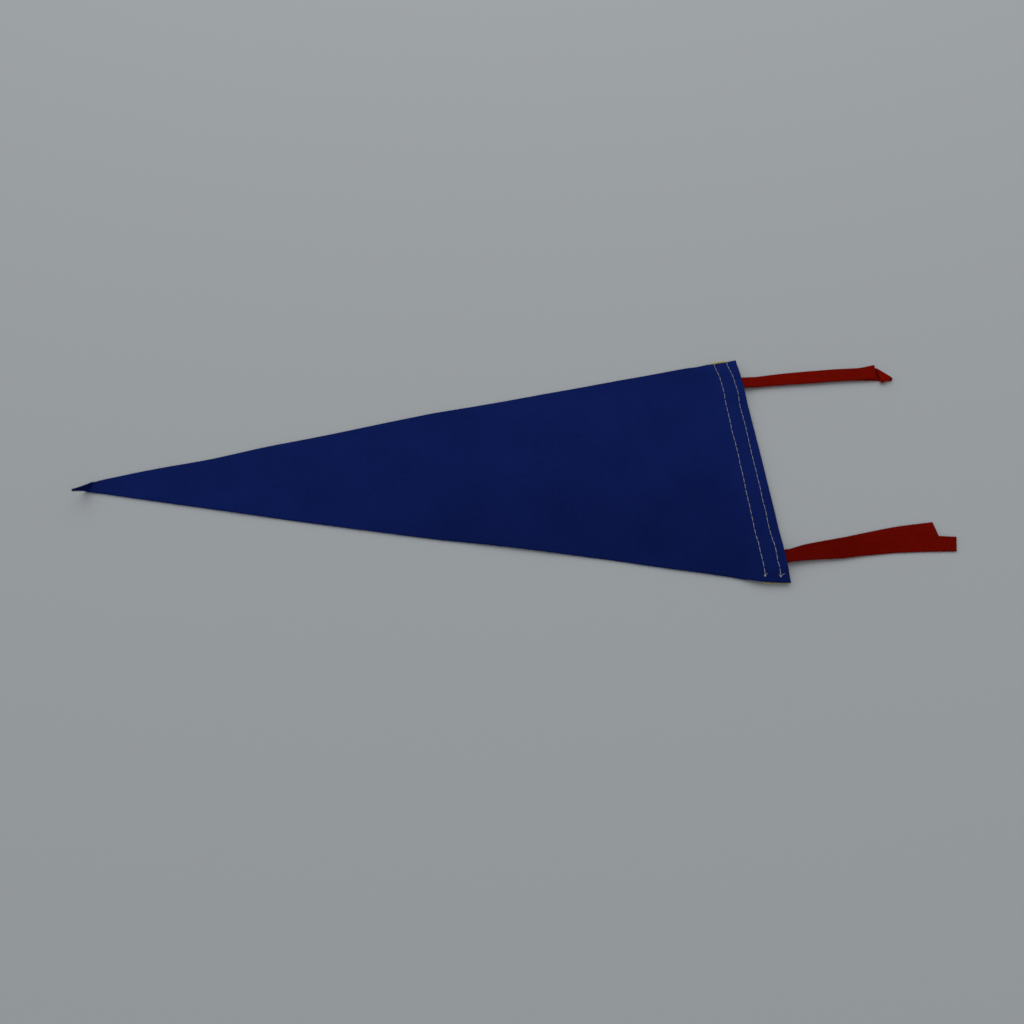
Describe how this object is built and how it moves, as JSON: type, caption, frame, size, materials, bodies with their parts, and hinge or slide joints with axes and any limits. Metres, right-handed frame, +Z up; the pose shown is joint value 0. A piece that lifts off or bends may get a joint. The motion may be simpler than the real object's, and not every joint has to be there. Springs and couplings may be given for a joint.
{
  "type": "pennant flag",
  "caption": "Long felt triangle pennant lying face down, with a sewn heading strip and felt ties with free tails at its wide end.",
  "frame": {"origin": "middle of the flag's box, on the surface that it lies on", "axes": "+X from the tip towards the wide end and its ties, +Y across the flag, +Z up from the surface, on the side of the cloth's back"},
  "size_m": [0.424, 0.1404, 0.0112],
  "materials": {
    "blue_felt": "matt pressed felt, deep blue",
    "yellow_felt": "matt pressed felt, yellow",
    "red_felt": "matt pressed felt, deep red"
  },
  "bodies": {
    "root": {"pennant_body": "blue_felt", "heading_strip": "yellow_felt", "tie_far": "red_felt", "tie_near": "red_felt"}
  },
  "joints": []
}
